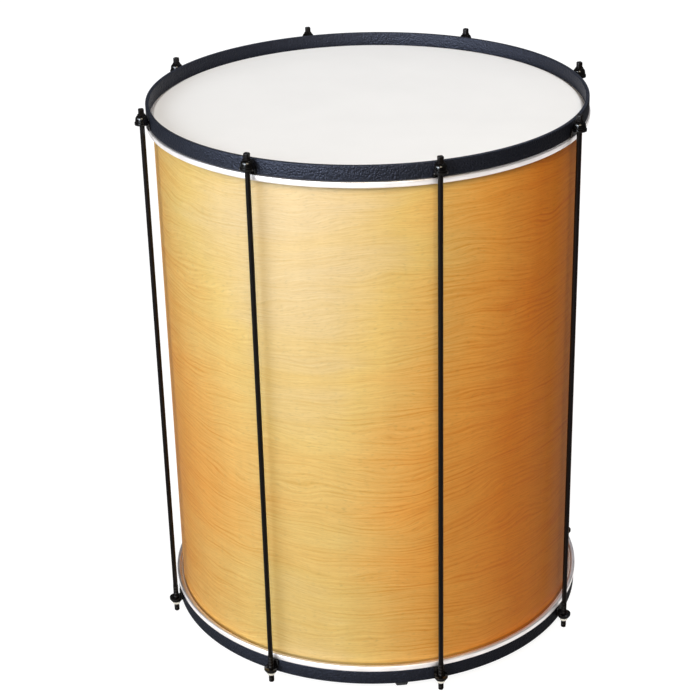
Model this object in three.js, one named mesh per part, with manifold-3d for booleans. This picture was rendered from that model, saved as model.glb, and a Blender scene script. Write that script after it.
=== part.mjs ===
// A surdo, the two-headed Brazilian bass drum, 18 in across and 22 in deep.
// Millimetres, +Z up. The origin is on the drum's axis at the floor, where the tension rods' lower
// ends stand, and -Y points midway between the two front rods.
// Each end of the drum (film, flesh hoop, hoop, ears) is built once in its own frame, which starts
// at the drum's middle and points out of it. The bottom end is the same frame turned over.
import * as THREE from 'three';
import { mergeVertices } from 'three/addons/utils/BufferGeometryUtils.js';
import Module from 'manifold-3d';

const wasm = await Module();
wasm.setup();

// Clearances
const restGap = 0.3; // between pieces that touch or are pressed together
const rodClearance = 0.35; // between a rod's thread and each bore it passes through
const overrun = 1; // how far a cutting shape reaches past what it cuts

// Shell, with a 45 degree bearing edge cut on the outside of each end
const shellRadius = 228.6;
const shellWall = 6;
const shellLength = 564.7;
const bearingCut = 2;
const innerRingWall = 6;
const innerRingHeight = 25;
const innerRingSetback = 1; // from the shell's end to the ring

// Heads
const filmThickness = 0.5;
const collarClearance = 1.9; // from the shell to the film's collar
const collarDrop = 2.5; // straight stretch of the collar, inside the flesh hoop
const fleshHoopWall = 5.1;
const fleshHoopHeight = 6.6;
const fleshHoopEdge = 0.6; // bevel on its outer inward corner

// Hoops, flat bar rolled on edge
const fleshHoopProud = 1.2; // past the hoop's outer face
const hoopThickness = 4;
const hoopHeight = 15.9;
const hoopEdge = 0.8; // rounding of its outward edge
const headLift = 2.3; // from the hoop's inward edge to the struck face

// Ears, a leg on the hoop's outer face and a round eye for the rod
const earSetback = 6.7; // from the hoop's outward edge to the ear's outward face
const earPlate = 2.4;
const earWidth = 11.5;
const earBend = 2;
const earLegShort = 0.5; // from the leg's end to the hoop's inward edge
const earEyeRadius = 7.6;

// Tension rods, with a flange and a square key head
const rodCount = 8;
const rodRadius = 2.65; // of the plain shank
const threadRadius = 3;
const threadLength = 34; // up from the lower end
const rodStandoff = 7.7; // from the hoop's outer radius to the rod's axis
const rodTail = 9.6; // past the nut
const rodTailEdge = 0.6; // chamfer of its lower end
const keyFlangeRadius = 4.2;
const keyFlangeHeight = 1.2;
const keyAcross = 5.8;
const keyHeight = 5.8;
const keyCornerRadius = 3.4; // rounds the square's corners
const keyCrown = 1; // rounding of its top

// Bells under the key heads, and cup washers and nuts below the bottom ears
const bellHeight = 6.8;
const bellTopRadius = 4.6;
const bellBaseRadius = 7;
const cupHeight = 3;
const cupNutRadius = 4.6;
const cupEarRadius = 6.6;
const rimHeight = 0.8; // of a bell's or cup's wide end
const shoulderHeightShare = 0.72; // of a bell's or cup's height, where its side turns in
const shoulderInShare = 0.25; // of the way in from its wide end to its narrow end
const nutAcross = 8;
const nutHeight = 2.6;
const nutEdge = 0.5; // chamfer of its corners

// Rubber pad under the bottom hoop's edge
const padHeight = 3;
const padWideWidth = 14.3;
const padNarrowWidth = 11;

// Facets
const sidesPerRod = 9;
const ringSides = sidesPerRod * rodCount;
const eyeSides = 16;
const boreSides = 12;
const bendSteps = 3;
const padSidesFromFront = 2;

const rodStep = (2 * Math.PI) / rodCount;
const sideStep = (2 * Math.PI) / ringSides;
const quarterTurn = Math.PI / 2;

// Radii, from the shell outwards. Ring facets share one phase, so gaps stay even all round.
const collarRadius = shellRadius + collarClearance;
const fleshHoopInner = collarRadius + filmThickness + restGap;
const fleshHoopOuter = fleshHoopInner + fleshHoopWall;
const hoopOuter = fleshHoopOuter - fleshHoopProud;
const hoopInner = hoopOuter - hoopThickness;
const hoopFace = hoopOuter * Math.cos(sideStep / 2); // flat of a facet
const rodCircle = hoopOuter + rodStandoff;
const boreRadius = threadRadius + rodClearance;

// Distances from the drum's middle, out towards either end
const shellEnd = shellLength / 2;
const filmInside = shellEnd + restGap;
const filmOutside = filmInside + filmThickness;
const hoopInward = filmOutside - headLift;
const hoopOutward = hoopInward + hoopHeight;
const fleshHoopOutward = hoopInward - restGap;
const fleshHoopInward = fleshHoopOutward - fleshHoopHeight;
const earFace = hoopOutward - earSetback;
const earLeg = earFace - hoopInward - earLegShort;

// Heights above the floor
const lowerEarFace = rodTail + nutHeight + restGap + cupHeight + restGap;
const drumMiddle = lowerEarFace + earFace;
const keyBase = drumMiddle + earFace + restGap + bellHeight + restGap;

// Shape helpers
function revolve(profile, sides = ringSides, phase = (sideStep - rodStep) / 2) {
  const points = profile.map(([radius, height]) => new THREE.Vector2(radius, height));
  if (THREE.ShapeUtils.isClockWise(points)) points.reverse();
  const meetsAxis = points[0].x === 0;
  if (!meetsAxis) points.push(points[0].clone());
  return new THREE.LatheGeometry(points, sides, phase).rotateX(quarterTurn);
}

function ring(inner, outer, low, high) {
  return revolve([[inner, low], [outer, low], [outer, high], [inner, high]]);
}

function solid(geometry) {
  const bare = geometry.index ? geometry.toNonIndexed() : geometry.clone();
  bare.deleteAttribute('normal');
  bare.deleteAttribute('uv');
  const merged = mergeVertices(bare);
  return new wasm.Manifold(new wasm.Mesh({
    numProp: 3,
    vertProperties: merged.getAttribute('position').array,
    triVerts: new Uint32Array(merged.index.array),
  }));
}

function geometryOf(body) {
  const { vertProperties, triVerts } = body.getMesh();
  const geometry = new THREE.BufferGeometry();
  geometry.setAttribute('position', new THREE.BufferAttribute(vertProperties, 3));
  geometry.setIndex(new THREE.BufferAttribute(triVerts, 1));
  const faceted = geometry.toNonIndexed();
  faceted.computeVertexNormals();
  return faceted;
}

function upright(shape, depth) {
  return new THREE.ExtrudeGeometry(shape, { depth, bevelEnabled: false, curveSegments: bendSteps });
}

// Shell
function shell() {
  const landRadius = shellRadius - bearingCut;
  const shoulder = shellEnd - bearingCut;
  const bore = shellRadius - shellWall;
  return revolve([
    [bore, -shellEnd],
    [landRadius, -shellEnd],
    [shellRadius, -shoulder],
    [shellRadius, shoulder],
    [landRadius, shellEnd],
    [bore, shellEnd],
  ]);
}

function innerRing() {
  const outer = shellRadius - shellWall - restGap;
  const high = shellEnd - innerRingSetback;
  return ring(outer - innerRingWall, outer, high - innerRingHeight, high);
}

// Film: flat over the shell, sloping down from its bearing edge, then straight inside the flesh hoop
function film() {
  const slopeShift = Math.SQRT2 - 1;
  const landRadius = shellRadius - bearingCut;
  const collarEnd = shellEnd - bearingCut - collarClearance - collarDrop;
  const face = (off, radius) => [
    [0, shellEnd + off],
    [landRadius + off * slopeShift, shellEnd + off],
    [radius, landRadius + shellEnd + off * Math.SQRT2 - radius],
    [radius, collarEnd],
  ];
  const outside = face(restGap + filmThickness, collarRadius + filmThickness);
  return revolve([...face(restGap, collarRadius), ...outside.reverse()]);
}

function fleshHoop() {
  return revolve([
    [fleshHoopInner, fleshHoopInward],
    [fleshHoopOuter - fleshHoopEdge, fleshHoopInward],
    [fleshHoopOuter, fleshHoopInward + fleshHoopEdge],
    [fleshHoopOuter, fleshHoopOutward],
    [fleshHoopInner, fleshHoopOutward],
  ]);
}

function hoop() {
  return revolve([
    [hoopInner, hoopInward],
    [hoopOuter, hoopInward],
    [hoopOuter, hoopOutward - hoopEdge],
    [hoopOuter - hoopEdge, hoopOutward],
    [hoopInner + hoopEdge, hoopOutward],
    [hoopInner, hoopOutward - hoopEdge],
  ]);
}

// Ear, about the rod's axis with +X away from the drum and its outward face at zero
function ear() {
  const back = hoopFace + restGap - rodCircle;
  const bracket = new THREE.Shape();
  bracket.moveTo(0, 0);
  bracket.lineTo(back + earBend, 0);
  bracket.absarc(back + earBend, -earBend, earBend, quarterTurn, Math.PI, false);
  bracket.lineTo(back, -earLeg);
  bracket.lineTo(back + earPlate, -earLeg);
  bracket.lineTo(back + earPlate, -earPlate);
  bracket.lineTo(0, -earPlate);
  const arm = upright(bracket, earWidth).rotateX(quarterTurn).translate(0, earWidth / 2, 0);
  const eye = new THREE.CylinderGeometry(earEyeRadius, earEyeRadius, earPlate, eyeSides)
    .rotateX(quarterTurn)
    .translate(0, 0, -earPlate / 2);
  const hole = new THREE.CylinderGeometry(boreRadius, boreRadius, earPlate + 2 * overrun, boreSides)
    .rotateX(quarterTurn)
    .translate(0, 0, -earPlate / 2);
  return geometryOf(solid(arm).add(solid(eye)).subtract(solid(hole)));
}

// Bell or cup, bored, wide at the ear and narrow at the key head or nut
function bell(height, baseRadius, tipRadius) {
  return revolve([
    [boreRadius, 0],
    [baseRadius, 0],
    [baseRadius, rimHeight],
    [baseRadius - shoulderInShare * (baseRadius - tipRadius), shoulderHeightShare * height],
    [tipRadius, height],
    [boreRadius, height],
  ], boreSides);
}

function hexNut() {
  const corner = nutAcross / Math.sqrt(3);
  const outline = new THREE.Shape();
  for (let side = 0; side < 6; side += 1) {
    const angle = (side * Math.PI) / 3;
    const put = side === 0 ? 'moveTo' : 'lineTo';
    outline[put](corner * Math.cos(angle), corner * Math.sin(angle));
  }
  const bore = new THREE.CylinderGeometry(boreRadius, boreRadius, nutHeight + 2 * overrun, boreSides)
    .rotateX(quarterTurn)
    .translate(0, 0, nutHeight / 2);
  const chamfered = revolve([
    [0, 0],
    [corner - nutEdge, 0],
    [corner, nutEdge],
    [corner, nutHeight - nutEdge],
    [corner - nutEdge, nutHeight],
    [0, nutHeight],
  ], boreSides, 0);
  return geometryOf(solid(upright(outline, nutHeight)).intersect(solid(chamfered)).subtract(solid(bore)));
}

// Rod, about its own axis from the floor up, with its flange and key head
function tensionRod() {
  const flangeTop = keyBase + keyFlangeHeight;
  const tip = flangeTop + keyHeight;
  const shank = revolve([
    [0, 0],
    [threadRadius - rodTailEdge, 0],
    [threadRadius, rodTailEdge],
    [threadRadius, threadLength],
    [rodRadius, threadLength + threadRadius - rodRadius],
    [rodRadius, keyBase],
    [keyFlangeRadius, keyBase],
    [keyFlangeRadius, flangeTop],
    [0, flangeTop],
  ], boreSides, 0);
  const square = new THREE.BoxGeometry(keyAcross, keyAcross, keyHeight + keyFlangeHeight)
    .translate(0, 0, tip - (keyHeight + keyFlangeHeight) / 2);
  const crowned = revolve([
    [0, keyBase],
    [keyCornerRadius, keyBase],
    [keyCornerRadius, tip - keyCrown],
    [keyCornerRadius - keyCrown, tip],
    [0, tip],
  ], eyeSides, 0);
  return geometryOf(solid(shank).add(solid(square).intersect(solid(crowned))));
}

// Pad, across the width of the hoop's edge, with its wide side at zero
function hoopPad() {
  const outline = new THREE.Shape();
  outline.moveTo(-padWideWidth / 2, 0);
  outline.lineTo(padWideWidth / 2, 0);
  outline.lineTo(padNarrowWidth / 2, padHeight);
  outline.lineTo(-padNarrowWidth / 2, padHeight);
  const thickness = hoopFace - hoopInner * Math.cos(sideStep / 2);
  return upright(outline, thickness)
    .rotateX(quarterTurn)
    .rotateZ(quarterTurn)
    .translate(hoopFace - thickness, 0, 0);
}

// Assembly
const surdo = new THREE.Group();

function add(parent, name, geometry, color, roughness, metalness) {
  const material = new THREE.MeshStandardMaterial({ color, roughness, metalness });
  const mesh = new THREE.Mesh(geometry, material);
  mesh.name = name;
  parent.add(mesh);
  return mesh;
}

const lacqueredVeneer = ['#e3b566', 0.35, 0];
const bareBirch = ['#c9a877', 0.7, 0];
const milkyFilm = ['#ecebe8', 0.4, 0];
const polishedAluminium = ['#dcdde0', 0.2, 1];
const blackPowderCoat = ['#25272c', 0.6, 0.2];
const blackGloss = ['#101114', 0.2, 0.6];
const brightZinc = ['#c9c4b8', 0.3, 1];
const blackRubber = ['#17181a', 0.8, 0];

// The first two rods stand either side of the front
const rodAngle = (number) => (number - 1.5) * rodStep - quarterTurn;

const middle = new THREE.Group();
middle.position.z = drumMiddle;
surdo.add(middle);
add(middle, 'shell', shell(), ...lacqueredVeneer);

const topEnd = new THREE.Group();
const bottomEnd = new THREE.Group();
bottomEnd.rotation.x = Math.PI;
middle.add(topEnd, bottomEnd);
const ends = [
  { end: topEnd, label: 'top', handed: 1 },
  { end: bottomEnd, label: 'bottom', handed: -1 },
];

// A place on an end, out from the drum's axis at a given angle and distance from the middle
function spot(end, handed, angle, radius, height) {
  const place = new THREE.Group();
  place.rotation.z = handed * angle;
  place.position.set(radius * Math.cos(handed * angle), radius * Math.sin(handed * angle), height);
  end.add(place);
  return place;
}

for (const { end, label, handed } of ends) {
  add(end, `${label}_inner_ring`, innerRing(), ...bareBirch);
  add(end, `${label}_head_film`, film(), ...milkyFilm);
  add(end, `${label}_flesh_hoop`, fleshHoop(), ...polishedAluminium);
  add(end, `${label}_hoop`, hoop(), ...blackPowderCoat);
  for (let number = 1; number <= rodCount; number += 1) {
    const place = spot(end, handed, rodAngle(number), rodCircle, earFace);
    add(place, `${label}_ear_${number}`, ear(), ...blackGloss);
  }
}

for (let number = 1; number <= rodCount; number += 1) {
  const angle = rodAngle(number);
  const rodPlace = spot(surdo, 1, angle, rodCircle, 0);
  add(rodPlace, `tension_rod_${number}`, tensionRod(), ...blackGloss);

  const bellPlace = spot(topEnd, 1, angle, rodCircle, earFace + restGap);
  add(bellPlace, `bell_collar_${number}`, bell(bellHeight, bellBaseRadius, bellTopRadius), ...blackGloss);

  const cupPlace = spot(bottomEnd, -1, angle, rodCircle, earFace + restGap);
  add(cupPlace, `cup_washer_${number}`, bell(cupHeight, cupEarRadius, cupNutRadius), ...blackGloss);

  const nutPlace = spot(bottomEnd, -1, angle, rodCircle, earFace + cupHeight + 2 * restGap);
  add(nutPlace, `hex_nut_${number}`, hexNut(), ...brightZinc);
}

const padAngle = (padSidesFromFront + 0.5) * sideStep - quarterTurn;
const padPlace = spot(bottomEnd, -1, padAngle, 0, hoopOutward + restGap);
add(padPlace, 'hoop_pad', hoopPad(), ...blackRubber);

export default surdo;
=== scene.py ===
"""The looks of a surdo, a two-headed bass drum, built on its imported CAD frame.

The file is laid out as a Blender add-on and is run as a script. Lengths are metres, in the frame's
axes: +Z up, the drum's axis at the origin, -Y midway between the two front rods.
"""
import functools
import math

import bmesh
import bpy
from bpy.props import FloatProperty, FloatVectorProperty, IntProperty, PointerProperty
from mathutils import Matrix, Vector


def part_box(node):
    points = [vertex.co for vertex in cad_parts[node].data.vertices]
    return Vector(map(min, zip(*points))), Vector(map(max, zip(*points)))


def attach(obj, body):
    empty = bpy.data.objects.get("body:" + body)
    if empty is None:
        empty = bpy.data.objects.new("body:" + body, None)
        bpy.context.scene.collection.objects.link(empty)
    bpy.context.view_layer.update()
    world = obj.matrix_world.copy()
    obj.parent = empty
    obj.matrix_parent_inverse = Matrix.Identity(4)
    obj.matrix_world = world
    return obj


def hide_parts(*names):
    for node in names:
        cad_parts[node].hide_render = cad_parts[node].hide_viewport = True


bl_info = {
    "name": "Surdo",
    "version": (1, 0, 0),
    "blender": (4, 5, 0),
    "location": "View3D > Sidebar > Surdo",
    "description": "Builds a surdo drum on its packed frame, with a stage to show it on",
    "category": "Object",
}

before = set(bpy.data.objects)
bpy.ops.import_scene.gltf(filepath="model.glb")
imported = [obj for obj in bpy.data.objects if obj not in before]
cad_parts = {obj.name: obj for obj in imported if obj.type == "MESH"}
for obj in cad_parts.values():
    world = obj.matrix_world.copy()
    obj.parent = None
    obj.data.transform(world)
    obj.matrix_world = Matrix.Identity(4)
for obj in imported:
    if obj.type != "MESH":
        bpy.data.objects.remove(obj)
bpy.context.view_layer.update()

MM = 0.001
FULL_TURN = 2 * math.pi
ROD_COUNT = 8
ROD_STEP = FULL_TURN / ROD_COUNT
FIRST_ROD = -FULL_TURN / 4 - ROD_STEP / 2  # rod 1 stands left of the front, rod 2 right of it
SAME_POINT = 1e-6  # points of a mesh nearer than this, in metres, are one

# Where a bell's or cup's side turns in, as shares of its narrowing and its height, and how roundly
SHOULDER_IN, SHOULDER_UP, SHOULDER_ROUNDING = 0.25, 0.72, 0.6

# Softboxes: tint, width and height in metres, degrees round from the front and up from the level,
# and metres from the point on the drum's axis that they face
SOFTBOXES = {
    "key": ("key_tint", (5.0, 2.4), -48, 24, 4.0),
    "shine": ("key_tint", (1.4, 1.4), -32, 22, 2.5),
    "fill": ("fill_tint", (2.4, 2.4), 10, 40, 4.2),
    "over": ("over_tint", (2.0, 2.0), 150, 66, 3.4),
    "rear": ("over_tint", (3.0, 2.0), 190, 7, 4.5),
}


# Sizes that the frame gives
def reach(node):
    """How far a round node reaches from the drum's axis."""
    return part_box(node)[1].x


def low(node):
    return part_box(node)[0].z


def high(node):
    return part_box(node)[1].z


def width(node, axis):
    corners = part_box(node)
    return (corners[1] - corners[0])[axis]


def centre(node):
    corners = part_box(node)
    return (corners[0] + corners[1]) / 2


def linear(hex_colour):
    """An sRGB hex colour as three linear numbers."""
    channels = [int(hex_colour[i:i + 2], 16) / 255 for i in (1, 3, 5)]
    return [c / 12.92 if c <= 0.04045 else ((c + 0.055) / 1.055) ** 2.4 for c in channels]


def length(name, description, default):
    return FloatProperty(
        name=name, description=description, default=default, unit="LENGTH", precision=5
    )


def colour(name, description, hex_colour):
    return FloatVectorProperty(
        name=name, description=description, default=linear(hex_colour), subtype="COLOR",
        min=0, max=1,
    )


def angle(name, description, degrees):
    return FloatProperty(
        name=name, description=description, default=math.radians(degrees),
        subtype="ANGLE", unit="ROTATION"
    )


def amount(name, description, default):
    return FloatProperty(name=name, description=description, default=default, min=0)


def facets_of(description, default):
    return IntProperty(name="Facets", description=description, default=default, min=32)


class SurdoShell(bpy.types.PropertyGroup):
    radius: length("Radius", "Outer radius of the shell", reach("shell"))
    wall: length("Wall", "Thickness of the plywood", 6 * MM)
    edge_cut: length("Edge cut", "Height of the 45 degree bearing edge", 2 * MM)
    edge_softness: length("Edge softness", "Rounding of the bearing edge's corners", 0.5 * MM)
    ply: length("Ply", "Thickness of one ply", 1.2 * MM)
    growth_spacing: length("Growth spacing", "Mean distance between growth lines", 5.2 * MM)
    # The palest tone is a painted sheen, and the deeper ones round the far side are partly the
    # veneer's own tone and partly painted shade
    painted_sheen_azimuth: angle("Palest side", "Where the veneer is palest, from the front", -10)
    pale: colour("Pale wood", "Palest part of the veneer", "#e8cf9c")
    golden: colour("Golden wood", "Veneer either side of its palest part", "#efce7b")
    amber: colour("Amber wood", "Veneer further round", "#fab54f")
    orange: colour("Orange wood", "Deepest part of the veneer", "#f4961e")
    growth_tint: colour("Growth tint", "What late wood lets through on pale veneer", "#efe1c0")
    deep_tint: colour("Deep growth tint", "What it lets through on deep veneer", "#efce7c")
    birch: colour("Birch", "Bare plywood inside", "#d8bb8b")
    facets: facets_of("Sides of the shell", 256)


class SurdoHead(bpy.types.PropertyGroup):
    film: length("Film", "Thickness of the film", 0.5 * MM)
    gap: length("Gap", "Between the film and the shell", 0.3 * MM)
    bend: length("Bend", "Rounding where the film turns down", 1.2 * MM)
    white: colour("White", "Milky polyester", "#f5f4f2")
    facets: facets_of("Sides of the film", 192)


class SurdoHoops(bpy.types.PropertyGroup):
    thickness: length("Thickness", "Of the flat bar", 4 * MM)
    rounding: length("Rounding", "Of the flat bar's corners", 0.8 * MM)
    flesh_thickness: length("Flesh hoop", "Thickness of the flesh hoop", 5.1 * MM)
    flesh_rounding: length("Flesh hoop rounding", "Of the flesh hoop's corners", 1.8 * MM)
    peel: length("Orange peel", "Size of the powder coat's bumps", 2 * MM)
    powder: colour("Powder coat", "Black of the hoops", "#050710")
    sheen: colour("Powder coat's sheen", "The blue cast of its shine", "#d8e0ff")
    aluminium: colour("Aluminium", "Polished flesh hoops", "#f0ebe9")
    facets: facets_of("Sides of a hoop", 256)


class SurdoFittings(bpy.types.PropertyGroup):
    plate: length("Ear plate", "Thickness of an ear", 2.4 * MM)
    ear_width: length("Ear width", "Width of an ear's leg", 11.5 * MM)
    ear_gap: length("Ear gap", "Between an ear's leg and its hoop", 0.08 * MM)
    ear_bend: length("Ear bend", "Outer radius of an ear's bend", 2 * MM)
    eye: length("Ear eye", "Radius of an ear's round end", 7.6 * MM)
    bore: length("Bore", "Radius of the holes the rods pass", 3.35 * MM)
    edge: length("Edge", "Rounding of an ear's edges", 0.35 * MM)
    bell_top: length("Bell top", "Radius under the key head", 4.6 * MM)
    cup_tip: length("Cup tip", "Radius of a cup washer at its nut", 4.6 * MM)
    rim: length("Rim", "Height of a bell's or cup's straight rim", 0.8 * MM)
    nut_across: length("Nut", "Across the flats of a nut", 8 * MM)
    nut_chamfer: length("Nut chamfer", "Chamfer of a nut's corners", 0.5 * MM)
    pad_wide: length("Pad", "Width of the pad at its hoop", 14.3 * MM)
    pad_narrow: length("Pad foot", "Width of the pad at its lower face", 11 * MM)
    pad_inset: length("Pad inset", "Of the pad behind its hoop's face", 0.2 * MM)
    pad_edge: length("Pad edge", "Rounding of the pad's edges", 0.5 * MM)
    plating: colour("Plating", "Gloss black of ears, cups and bells", "#0b0909")
    zinc: colour("Zinc", "Bright plated nuts", "#dcd7cb")
    rubber: colour("Rubber", "The pad under the bottom hoop", "#1b1c1e")


class SurdoRods(bpy.types.PropertyGroup):
    radius: length("Radius", "Of a rod's plain shank", 2.65 * MM)
    tail_chamfer: length("Tail chamfer", "Of a rod's lower end", 0.6 * MM)
    thread_length: length("Thread length", "From a rod's lower end", 34 * MM)
    thread_radius: length("Thread radius", "To the crests, rolled up from the shank", 3 * MM)
    thread_pitch: length("Thread pitch", "From one crest to the next", 1 * MM)
    thread_depth: length("Thread depth", "From crest to root", 0.48 * MM)
    flange: length("Flange", "Radius of the flange under the key head", 4.2 * MM)
    flange_height: length("Flange height", "Thickness of the flange", 1.2 * MM)
    flange_under: length("Flange underside", "Chamfer of the flange's lower edge", 0.2 * MM)
    flange_over: length("Flange top", "Chamfer of the flange's upper edge", 0.3 * MM)
    key_across: length("Key head", "Across the flats of the square key head", 5.8 * MM)
    key_height: length("Key height", "Height of the square key head", 5.8 * MM)
    key_corner: length("Key corner", "Radius that rounds the square's corners", 3.4 * MM)
    key_crown: length("Key crown", "Rounding of the head's top", 1 * MM)
    oxide: colour("Black oxide", "Of the rods", "#110b0a")


class SurdoStage(bpy.types.PropertyGroup):
    floor_size: length("Floor", "Width of the floor", 60.0)
    wall_height: length("Wall", "Height of the round wall at the floor's edge", 16.0)
    floor_colour: colour("Floor colour", "Face of the acrylic sheet", "#808080")
    floor_glow: amount("Floor glow", "Light through the acrylic", 0.9)
    room: amount("Room", "Brightness of the room's walls", 0.07)
    aim: length("Aim", "Height on the drum's axis that the softboxes face", 0.3)
    key: amount("Key", "Broad softbox at the left, in watts", 134.0)
    shine: amount("Shine", "Softbox that only lacquer and black reflect, in watts", 70.0)
    fill: amount("Fill", "Softbox by the camera, in watts", 110.0)
    over: amount("Over", "Softbox above and behind, in watts", 50.0)
    rear: amount("Rear", "Softbox low behind the drum, in watts", 60.0)
    key_tint: colour("Key tint", "Daylight from the key", "#ecf5ff")
    fill_tint: colour("Fill tint", "Warmer light from the fill", "#fff0d8")
    over_tint: colour("Over tint", "Light from above", "#f0f5ff")
    camera_azimuth: angle("Camera azimuth", "Round the drum from its front", 6.15)
    camera_distance: length("Camera distance", "From the drum's axis", 1.88244)
    camera_height: length("Camera height", "Above the floor", 1.18655)
    camera_yaw: angle("Camera yaw", "To the right of the drum's axis", -0.619)
    camera_pitch: angle("Camera pitch", "Below the horizon", 25.01)
    camera_roll: angle("Camera roll", "About its line of sight", -1.318)
    lens: FloatProperty(
        name="Lens", description="Focal length in millimetres", default=94.43, min=1
    )
    shift_x: FloatProperty(name="Shift X", description="Of the frame", default=-0.00523)
    shift_y: FloatProperty(name="Shift Y", description="Of the frame", default=-0.01057)


class SurdoSettings(bpy.types.PropertyGroup):
    shell: PointerProperty(type=SurdoShell)
    head: PointerProperty(type=SurdoHead)
    hoops: PointerProperty(type=SurdoHoops)
    fittings: PointerProperty(type=SurdoFittings)
    rods: PointerProperty(type=SurdoRods)
    stage: PointerProperty(type=SurdoStage)


# Nodes
COLOURS = {"data_type": "RGBA"}
ADD, MULTIPLY, MULTIPLY_ADD, MAXIMUM = (
    {"operation": name} for name in ("ADD", "MULTIPLY", "MULTIPLY_ADD", "MAXIMUM")
)


def add_node(tree, kind, settings=None, inputs=None):
    """Adds a node with its settings and inputs. An input is found by its name or number, and gets a
    value, a socket or a node, which stands for its first output."""
    node = tree.nodes.new(kind)
    for name, value in (settings or {}).items():
        setattr(node, name, value)
    for key, value in (inputs or {}).items():
        if isinstance(key, str):
            socket = next(s for s in node.inputs if s.enabled and s.name == key)
        else:
            socket = node.inputs[key]
        if isinstance(value, bpy.types.Node):
            value = next(s for s in value.outputs if s.enabled)
        if isinstance(value, bpy.types.NodeSocket):
            tree.links.new(value, socket)
        elif socket.type == "RGBA":
            socket.default_value = (*value, 1)
        else:
            socket.default_value = value
    return node


def surface(name, build):
    """The material of that name, whose shader comes from build. It is made once."""
    material = bpy.data.materials.get(name)
    if material is None:
        material = bpy.data.materials.new(name)
        material.use_nodes = True
        tree = material.node_tree
        tree.nodes.clear()
        shader = build(functools.partial(add_node, tree))
        add_node(tree, "ShaderNodeOutputMaterial", None, {"Surface": shader})
    return material


def every(*millimetres):
    """The scale that makes one feature of a pattern as long as that along each axis."""
    return [1000 / size for size in millimetres]


def shaded(tone, share):
    """A colour made lighter or darker by that share."""
    return [channel * share for channel in tone]


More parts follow.
